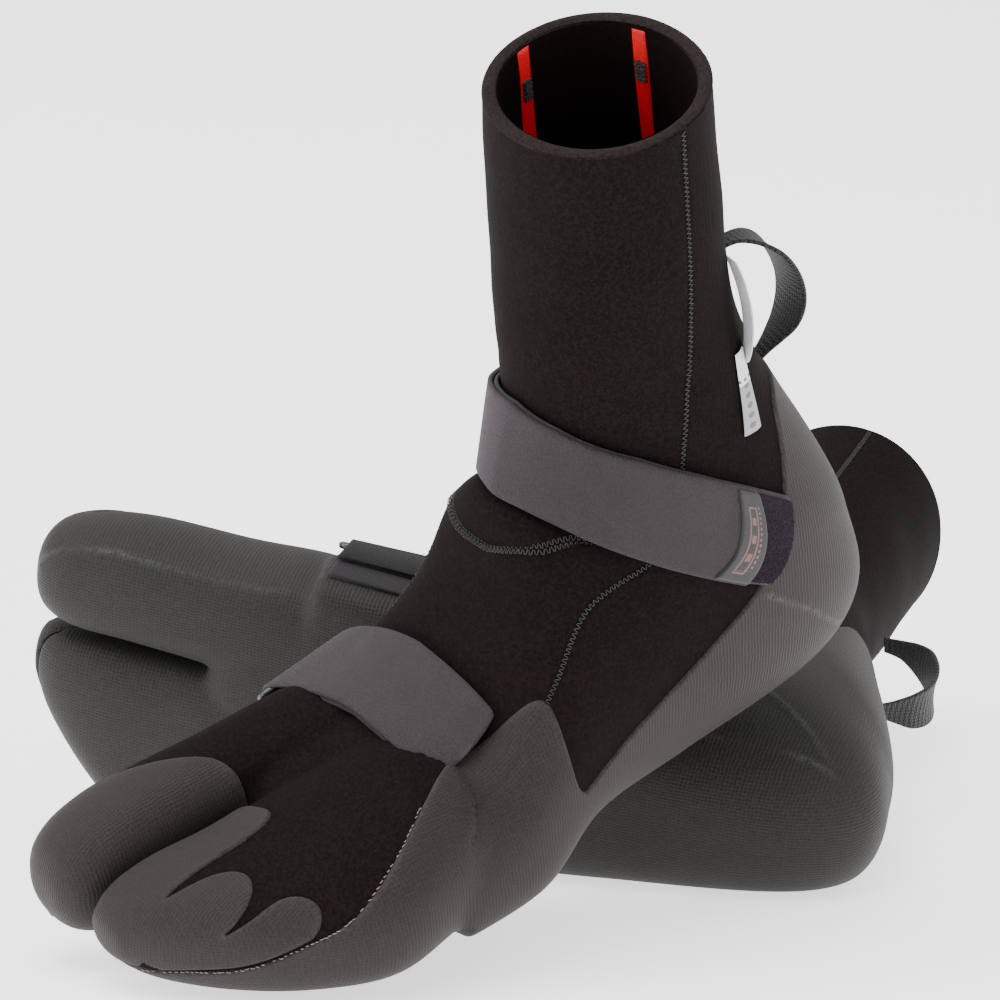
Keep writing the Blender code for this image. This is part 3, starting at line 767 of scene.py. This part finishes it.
def make_cuff(side):
    """Cut edge at the top and the lining inside."""
    count = 180
    turn = np.linspace(0, 360, count, endpoint=False)
    wave = 0.35 * np.sin(np.radians(turn * 3 + 40)) + 0.2 * np.sin(np.radians(turn * 7))
    rows = []
    for k in range(9):
        f = pi * k / 8
        point = skin(np.full(count, 0.02), turn, -WALL / 2 + 2.32 * np.cos(f))
        rows.append(point + CUFF[1] * (1.1 * np.sin(f) + (wave * 0.3 * np.sin(f))[:, None]))
    rim = np.concatenate(rows)
    layers = {"boot": rim, "groove": np.zeros(len(rim))}
    piece(side, "cuff_edge", rim, grid_faces(9, count, True), CUT_EDGE, "boot", "neoprene", layers)
    rows = [skin(np.full(count, u), turn, -WALL + 0.15 * np.sin(u * 7 + np.radians(turn) * 3))
            for u in np.linspace(0.0, 6.2, 60)]
    inside = np.concatenate(rows)
    inside[:count] += CUFF[1] * 0.2
    layers = {"boot": inside, "groove": np.zeros(len(inside))}
    obj = piece(side, "lining", inside, grid_faces(60, count, True), LINING, "boot", "neoprene", layers)


def tube(path, radius, sides=6, closed=False):
    """Points and faces of a round rod along a path."""
    path = np.asarray(path, float)
    way = np.roll(path, -1, 0) - np.roll(path, 1, 0)
    if not closed:
        way[0], way[-1] = path[1] - path[0], path[-1] - path[-2]
    up = np.cross(way[0], (0.3, 0.5, 0.8))
    turn = np.linspace(0, 2 * pi, sides, endpoint=False)[:, None]
    rings = []
    for p, w in zip(path, unit(way)):
        up = unit(up - w * (up @ w))
        rings.append(p + radius * (np.cos(turn) * up + np.sin(turn) * np.cross(w, up)))
    if closed:
        faces = grid_faces(len(rings) + 1, sides, True) % (len(rings) * sides)
        return np.concatenate(rings), faces
    return rings_mesh(rings)


def stitches(side, name, line, amplitude, radius, double=False, pitch=1.7, lift=0.15):
    """Zigzag thread over a seam; line holds (station, angle) pairs."""
    at = np.asarray(line, float)
    fine = catmull(at, np.linspace(0, len(at) - 1, 400))
    path = skin(fine[:, 0], fine[:, 1], lift)
    length = run_of(path)
    count = int(length[-1] / pitch * 4)
    s = np.linspace(0, length[-1], count)
    u = np.interp(s, length, fine[:, 0])
    angle = np.interp(s, length, fine[:, 1])
    middle = skin(u, angle, lift)
    out = skin(u, angle, lift + 1) - middle
    across = unit(np.cross(out, unit(np.gradient(middle, axis=0))))
    parts = []
    for shift in ((-0.55, 0.55) if double else (0,)):
        swing = np.where(np.arange(count) % 4 < 2, 1, -1) * amplitude
        sway = swing + RNG.normal(0, amplitude * 0.12, count)
        dip = np.where(np.arange(count) % 2 == 0, 0.10, -0.24)
        path = middle + across * (sway + shift * 2.4 * amplitude)[:, None] + out * dip[:, None]
        parts.append(tube(path, radius, 5))
    piece(side, name, *joined(parts), THREAD, "boot", "neoprene")


def dashes(side, name, path, body, count, length=1.3, radius=0.16, lift=0.9):
    """Short broken stitches along a path that is laid on the body's nearest points."""
    tree = nearest_in(body[:, PLACE])
    line = catmull(path, np.linspace(0, len(path) - 1, count * 4))
    near = np.array([tree.find(p)[1] for p in line])
    normals = body[near, OUT]
    laid = line + normals * np.sum((body[near, PLACE] - line) * normals, axis=1)[:, None] + normals * lift
    parts = []
    for k in range(count - 1):
        if RNG.random() < 0.22:
            continue
        start, way, out = laid[4 * k], laid[4 * k + 4] - laid[4 * k], normals[4 * k]
        way = unit(way)
        tilt = np.cross(way, out) * RNG.normal(0.25, 0.15)
        reach = length * RNG.uniform(0.6, 1.1)
        sink = out * 0.25
        parts.append(tube([start + (way + tilt) * reach * f - sink * abs(2 * f - 1) for f in (0, 0.3, 0.7, 1)],
                          radius, 5))
    piece(side, name, *joined(parts), PALE_THREAD, "boot", "neoprene")


TOE_SEAM = ((5.3, -198.2, 12.2), (24.6, -190.5, 15.6), (38, -180, 18.3), (50.4, -164, 26.4),
            (55.4, -148.8, 32.1), (50.6, -128.8, 41.9), (41.5, -113.2, 47.6))


# ------------------------------------------------------------------ straps
# edges of the straps: (angle round the boot, station)
ANKLE_TOP = ((0, 2.4), (24, 2.5), (60, 2.8), (83, 3.1), (114, 3.6))
ANKLE_LOW = ((0, 5.5), (28, 5.15), (60, 4.9), (83, 4.8), (114, 4.7))
ANKLE_SLANT = ((0, 0), (60, 0), (90, 4), (100, 6), (113, 12))
ANKLE_CLING = ((0, 0), (55, 0), (85, 1), (120, 1))
INSTEP_TOP = ((-110, 7.95), (-55, 7.88), (-8, 7.72), (40, 7.76))
INSTEP_LOW = ((-110, 8.85), (-55, 8.78), (-8, 8.6), (40, 8.66))
# the rings: angle round the boot, then mm above the face, between the bars, past the strap, rod radius
RING_AT = {("ankle", "left"): -75, ("ankle", "right"): -75, ("instep", "left"): -60, ("instep", "right"): -72}
RING_RISE, RING_PITCH, RING_SIDE, ROD = 3.9, 7.0, 2.9, 1.1
FLAP, BASE = (2.5, 4.0), (0.75, 2.0)  # back and face of the straps above the boot's face
EASED_ROWS = (11, 20)
TAIL = {"ankle": -106, "instep": -102}  # where the ring's tab is sewn down


def line_of(table, x):
    """Straight lines through (x, y) pairs."""
    table = np.asarray(table, float)
    return np.interp(x, table[:, 0], table[:, 1])


def strap_point(strap, angle, t, rise):
    """Points of a strap in mm: angle round the boot, t across it, rise above the face."""
    angle, t, rise = np.broadcast_arrays(*[np.asarray(k, float) for k in (angle, t, rise)])
    angle, t, rise = angle.ravel(), t.ravel(), rise.ravel()
    if strap == "instep":
        top, low = line_of(INSTEP_TOP, angle), line_of(INSTEP_LOW, angle)
        return skin(top + (low - top) * t, angle, rise)
    top, low = line_of(ANKLE_TOP, np.abs(angle)), line_of(ANKLE_LOW, np.abs(angle))
    slant = np.copysign(line_of(ANKLE_SLANT, np.abs(angle)), angle)
    first, last = skin(top, angle, rise), skin(low, angle - slant, rise)
    cling = line_of(ANKLE_CLING, np.abs(angle))[:, None]
    laid = skin(top + (low - top) * t, angle - slant * t, rise)
    chord = first + (last - first) * t[:, None]
    return chord + (laid - chord) * cling


def ring_frame(side, strap):
    """Middle of a ring, and the directions across, along and out of its strap."""
    angle = RING_AT[strap, side]
    ts = np.array((0, 0.35, 0.7, 1))
    line = strap_point(strap, angle, ts, 0)
    before, after = strap_point(strap, (angle - 1, angle + 1), 0.5, 0)
    half = np.linalg.norm(line[-1] - line[0]) / 2
    across = unit(line[-1] - line[0])
    forward = after - before
    forward = unit(forward - across * (forward @ across))
    out = np.cross(across, forward)
    if out @ (strap_point(strap, angle, 0.5, 1)[0] - (after + before) / 2) < 0:
        out = -out
    bulge = max((p - line[0]) @ out for p in line)
    return (line[0] + line[-1]) / 2 + out * (RING_RISE + bulge), across, forward, out, half


def band(rows, nap=0.45):
    """Closed strip from rows of (face points, back points): points, faces, coordinates in it, length."""
    across = len(rows[0][0])
    rings, coords = [], []
    runs = run_of(np.array([(face[across // 2] + back[across // 2]) / 2 for face, back in rows]))
    for run, (face, back) in zip(runs, rows):
        width = np.linalg.norm(np.diff(face, axis=0), axis=1).sum()
        t = np.linspace(-width / 2, width / 2, across)
        first = (face[0] + back[0]) / 2 + unit(face[0] - face[1]) * nap
        end = (face[-1] + back[-1]) / 2 + unit(face[-1] - face[-2]) * nap
        rings.append(np.concatenate([face, [end], back[::-1], [first]]))
        ys = np.concatenate([t, [width / 2 + nap], t[::-1], [-width / 2 - nap]])
        coords.append(np.stack([np.full(len(ys), run), ys, np.zeros(len(ys))], 1))
    points, faces = rings_mesh(rings)
    return points, faces, np.concatenate(coords), runs[-1]


def laid_rows(strap, first, last, low, high, step=1.5, wave=0.0, corner=0.0):
    """Rows of a strap that lies on the boot from one angle to another."""
    rows = []
    angles = np.linspace(first, last, max(3, int(abs(last - first) / step)))
    ts = np.linspace(0, 1, 17)
    for angle in angles:
        inset = corner * max(0.0, 1 - abs(last - angle) / 3.0) ** 2
        t = inset + ts * (1 - 2 * inset)
        lift = wave * np.sin(angle / 9.0 + ts * 3.0)
        crown = 0.25 * np.sin(pi * ts)
        rows.append((strap_point(strap, angle, t, high + lift + crown),
                     strap_point(strap, angle, t, low + lift + crown)))
    return rows


def fold_rows(ring, bar, turns, near, far):
    """Rows of a strap round one bar of its ring."""
    middle, across, forward, out, half = ring
    axis = middle + forward * (bar * RING_PITCH / 2)
    ts = np.linspace(-1, 1, 17)[:, None] * half * across
    rows = []
    for turn in turns:
        way = forward * np.cos(radians(turn)) + out * np.sin(radians(turn))
        rows.append((axis + way * far + ts, axis + way * near + ts))
    return rows


def eased(rows, first, last, rounds):
    """Rows with the bend between two of them smoothed out."""
    grid = np.array([[face, back] for face, back in rows])
    for _ in range(rounds):
        grid[first:last] = (grid[first - 1:last - 1] + grid[first + 1:last + 1]) * 0.3 + grid[first:last] * 0.4
    return [(g[0], g[1]) for g in grid]


def strap_piece(side, name, rows, material, body, *nodes):
    points, faces, coords, run = band(rows)
    obj = piece(side, name, points, faces, material, body, "webbing", {"weave": coords}, nodes)
    return obj


def make_strap(side, strap, end, sewn):
    """One strap: its ring, the tab that holds the ring, the sewn length under it and the peeling flap."""
    ring = ring_frame(side, strap)
    at = RING_AT[strap, side]
    rows = laid_rows(strap, TAIL[strap], at - 8, *BASE)
    rows += fold_rows(ring, -1, np.linspace(-100, 100, 15), 1.5, 2.8)
    rows += [tuple(strap_point(strap, at - 18, np.linspace(0, 1, 17), r) for r in (FLAP[1], FLAP[0]))]
    strap_piece(side, strap + "_tab", rows, TAB, "boot", strap + "_ring_tab")
    strap_piece(side, strap + "_under_strap", laid_rows(strap, at + 11, sewn, *BASE), STRAP, "boot",
                strap + "_strap_base")
    rows = fold_rows(ring, 1, np.linspace(245, 105, 13), 1.5, 2.95)
    lead = laid_rows(strap, at + 14, at + 26, FLAP[0], FLAP[1], 2)
    for k, (face, back) in enumerate(lead[:-1]):
        out = ring[3] * 2.2 * (1 - k / (len(lead) - 1)) ** 1.5
        rows.append((face + out, back + out))
    shape = {"instep": {"corner": 0.03}, "ankle": {"wave": 0.15}}[strap]
    rows = eased(rows + laid_rows(strap, at + 26, end, *FLAP, **shape), *EASED_ROWS, 10)
    if strap == "instep":
        strap_piece(side, "instep_strap", rows, STRAP, "instep_flap", "instep_strap_flap")
    else:
        obj = strap_piece(side, "ankle_strap", rows, STRAP, None, "ankle_strap_flap", "ankle_strap_end")
        crease = [place(side, strap_point("ankle", angle, 0.5, 3.3))[0] for angle in (36, 45)]
        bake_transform(obj)
    make_ring(side, strap, ring)


def make_ring(side, strap, ring):
    """A rectangular ring with rounded corners, bent from round rod."""
    middle, across, forward, _, half = ring
    r = 2.2
    w, h = half + RING_SIDE - r, RING_PITCH / 2 - r
    path = []
    for cx, cy, start in ((1, 1, 0), (-1, 1, 90), (-1, -1, 180), (1, -1, 270)):
        for a in np.radians(start + 15 * np.arange(7)):
            path.append(middle + across * (cx * w + r * np.cos(a)) + forward * (cy * h + r * np.sin(a)))
    points, faces = tube(path, ROD, 14, True)
    body = "instep_ring" if strap == "instep" else "boot"
    piece(side, strap + "_ring_rod", points, faces, METAL, body, "steel", nodes=(strap + "_ring",))


def patch(side, name, rows, columns, point_at, material, body, slot, nodes=(), thick=0.5, rough=0.0):
    """A small thing sewn on: a grid over the face with turned-down edges."""
    us, vs = np.linspace(0, 1, rows), np.linspace(0, 1, columns)
    gu, gv = np.meshgrid(us, vs, indexing="ij")
    edge = np.minimum(np.minimum(gu, 1 - gu) * (rows - 1), np.minimum(gv, 1 - gv) * (columns - 1))
    drop = np.where(edge < 0.5, -thick, np.where(edge < 1.5, -thick * 0.18, 0)).ravel()
    drop = drop + rough * RNG.normal(0, 1, drop.size) * (edge.ravel() > 0.5)
    points = point_at(gu.ravel(), gv.ravel(), drop)
    grid = points.reshape(rows, columns, 3)
    run, rise = run_of(grid[:, columns // 2]), run_of(grid[rows // 2])
    cx, cy = np.meshgrid(run - run[-1] / 2, rise - rise[-1] / 2, indexing="ij")
    weave_at = np.stack([cx.ravel(), cy.ravel(), np.zeros(cx.size)], 1)
    piece(side, name, points, grid_faces(rows, columns), material, body, slot, {"weave": weave_at}, nodes)


def make_trims(side):
    """The tab on the strap's end, the pile under it, the care label and the tapes inside the cuff."""
    def under(u, v, drop):
        return strap_point("ankle", 99.6 + 13.4 * u, 0.02 + 0.96 * v, 3.3 + drop)

    def slanted(u, v, drop):
        first = 93.5 - 5.5 * v
        return strap_point("ankle", first + (100 - first) * u, 0.02 + 0.96 * v, 4.95 + drop)

    patch(side, "label_tab", 30, 60, slanted, LABEL, "ankle_strap_end", "webbing", ("ankle_label",), 0.6)
    patch(side, "loop_patch", 44, 90, under, PILE, "boot", "loop_pile", ("ankle_loop_patch",), 2.4, 0.22)

    def tag(u, v, drop):
        station = 2.15 + 0.72 * v
        return skin(station, 130.5 - 12.5 * v - (9 + 2 * v) * u, 1.25 + drop + 0.35 * np.sin(pi * u))

    patch(side, "care_label", 20, 44, tag, SATIN, "boot", "satin", ("care_tag",), 0.5)
    for number, angle in enumerate((94, -82, -155), 1):
        def tape(u, v, drop, middle=angle):
            return skin(0.05 + 1.5 * v, middle + 9.4 * (0.5 - u), -4.95 - drop)

        patch(side, "tape_" + str(number), 12, 60, tape, TAPE, "boot", "seam_tape",
              ("seam_tape_" + str(number),), 0.5)
        path = []
        for k in range(44):
            way = 0.5 + 0.42 * np.sin(k * 1.9)
            path.append(skin(0.36 + 0.0035 * k + 0.02 * (k % 2), angle + 9.4 * (way - 0.5), -5.3)[0])
        points, faces = tube(path, 0.34, 5)
        piece(side, "bartack_" + str(number), points, faces, THREAD, "boot", "neoprene")


# the pull loop from its upper root to its lower one in mm: back, up, half width
LOOP = ((39, 165, 2.4), (45, 165.8, 3.2), (51, 163.5, 5.4), (56.5, 158.5, 7.4), (60.5, 151, 7.8),
        (62.5, 143, 7.6), (62.2, 136, 7.2), (60, 130, 6.2), (56.5, 125.5, 4.4), (53, 121.4, 2.8),
        (51, 118.5, 2.2))


def make_loop(side):
    """Pull loop of ribbed webbing, its two roots pinched together, with a white ribbon inside."""
    at = catmull(LOOP, np.linspace(0, len(LOOP) - 1, 70))
    rows = []
    ts = np.linspace(-1, 1, 17)
    for k, ((back, up, half), (dy, dz)) in enumerate(zip(at, unit(np.gradient(at[:, :2], axis=0)))):
        middle = np.sin(pi * k / 69)
        out, lean = np.array((0, -dz, dy)), np.array((0.985, 0.12 * dy, 0.12 * dz))
        curl = 0.9 * middle * (ts**2 - 0.35)
        centre = np.array((3.5 * middle, back, up)) + lean * (ts * half)[:, None] + out * curl[:, None]
        rows.append((centre + out * 0.7, centre - out * 0.7))
    points, faces, coords, run = band(rows, 0.4)
    obj = piece(side, "pull_strap", points, faces, LOOP_BAND, "pull_loop", "binding",
                {"weave": coords[:, [1, 0, 2]]}, ("pull_loop",))
    rows = []
    for s in np.linspace(0, 1, 40):
        u = 1.5 + 0.75 * s
        bow = 3.6 * np.sin(pi * s) ** 0.8 + 0.9
        angle = 141 - 12 * s
        ts = np.linspace(-0.5, 0.5, 9)
        spread = 6.4 + 1.2 * np.sin(pi * s)
        centre = skin(u, angle, bow)[0]
        sideways = unit(skin(u, angle - 3, bow)[0] - centre)
        lean = sideways * 0.8 + (skin(u, angle, bow + 1)[0] - centre) * 0.6
        line = centre + lean * (ts * spread)[:, None]
        normal = unit(np.cross(lean, skin(u + 0.05, angle, bow)[0] - centre))
        rows.append((line + normal * 0.2, line - normal * 0.2))
    points, faces, coords, _ = band(rows, 0.1)
    piece(side, "label_ribbon", points, faces, RIBBON, "boot", "satin", {"weave": coords})


table, triangles = shell_tables()
for which in ("left", "right"):
    make_shells(which, table, triangles)
    make_cuff(which)
    for way in (1, -1):
        line = [(u, way * float(curve(SEAM, u))) for u in (0.05, 1, 1.7, 2.4, 3, 4, 5, 6, 6.8, 7.4)]
        stitches(which, "seam_" + ("outer", "inner")[way < 0], line, 0.62, 0.17)
    stitches(which, "seam_instep", [(u, a) for a, u in INSTEP_LINE], 0.75, 0.18, True)
    dashes(which, "seam_toe", TOE_SEAM, table, 70)
    make_strap(which, "instep", end=29, sewn=20)
    make_strap(which, "ankle", end=100, sewn=113)
    make_trims(which)
    make_loop(which)


# ------------------------------------------------------------------ floor, light and camera
FLOOR_REACH, FLOOR_CELLS = 12.0, 24
CENTRE = (0.02, 0.0, 0.12)
LAMPS = (  # name, place, size in m, watts
    ("top", (-0.3, -0.5, 2.2), (1.6, 1.6), 46),
    ("left_key", (-1.8, -1.0, 1.4), (1.0, 1.4), 30),
    ("right_fill", (1.9, -0.7, 1.0), (1.0, 1.4), 5),
)
AZIMUTH, ELEVATION, ROLL = radians(19.027), radians(13.259), radians(0.677)
TARGET, DISTANCE = np.array((0.0206, -0.0260, 0.1251)), 3.2
LENS, SENSOR, SHIFT = 363.07, 36, (-0.000997, -0.0076)


def make_floor():
    """A pale floor that glows a little, so that it stays close to white."""
    s = Shade("pale_floor", 0.7, specular=0.2)
    at = s.add("ShaderNodeTexCoord").outputs["Object"]
    s.surface.inputs["Emission Color"].default_value = (1, 1, 1, 1)
    s.surface.inputs["Emission Strength"].default_value = 1.3
    pale = s.finish(s.mix(s.noise(at, 6.0, 3), rgb(250, 250, 251), rgb(254, 254, 254)))
    axis = np.linspace(-FLOOR_REACH, FLOOR_REACH, FLOOR_CELLS + 1)
    gx, gy = np.meshgrid(axis, axis, indexing="ij")
    points = np.stack([gx.ravel(), gy.ravel(), np.full(gx.size, -0.0002)], 1)
    return make_mesh("floor", points, grid_faces(FLOOR_CELLS + 1, FLOOR_CELLS + 1), pale)


def make_lights():
    for name, spot, size, watts in LAMPS:
        light = bpy.data.lights.new(name, "AREA")
        light.shape = "RECTANGLE"
        light.size, light.size_y = size
        light.energy = watts
        obj = link(name, light)
        obj.location = spot
        obj.rotation_euler = (Vector(CENTRE) - Vector(spot)).to_track_quat("-Z", "Y").to_euler()
    world = bpy.data.worlds.new("studio")
    world.use_nodes = True
    background = world.node_tree.nodes["Background"].inputs
    background[0].default_value, background[1].default_value = (1, 1, 1, 1), 1.25
    bpy.context.scene.world = world


def make_camera():
    sine, cosine = np.sin(AZIMUTH), np.cos(AZIMUTH)
    back = np.array((sine * np.cos(ELEVATION), -cosine * np.cos(ELEVATION), np.sin(ELEVATION)))
    level = np.array((cosine, sine, 0.0))
    down = -np.cross(back, level)
    right, up = np.cos(ROLL) * level - np.sin(ROLL) * down, -np.sin(ROLL) * level - np.cos(ROLL) * down
    data = bpy.data.cameras.new("camera")
    data.sensor_width, data.lens, data.clip_end = SENSOR, LENS, 50
    data.shift_x, data.shift_y = SHIFT
    camera = link("camera", data)
    turn = Matrix(np.stack([right, up, back], 1).tolist()).to_4x4()
    camera.matrix_world = Matrix.Translation(Vector(TARGET + back * DISTANCE)) @ turn
    bpy.context.scene.camera = camera


make_floor()
make_lights()
make_camera()
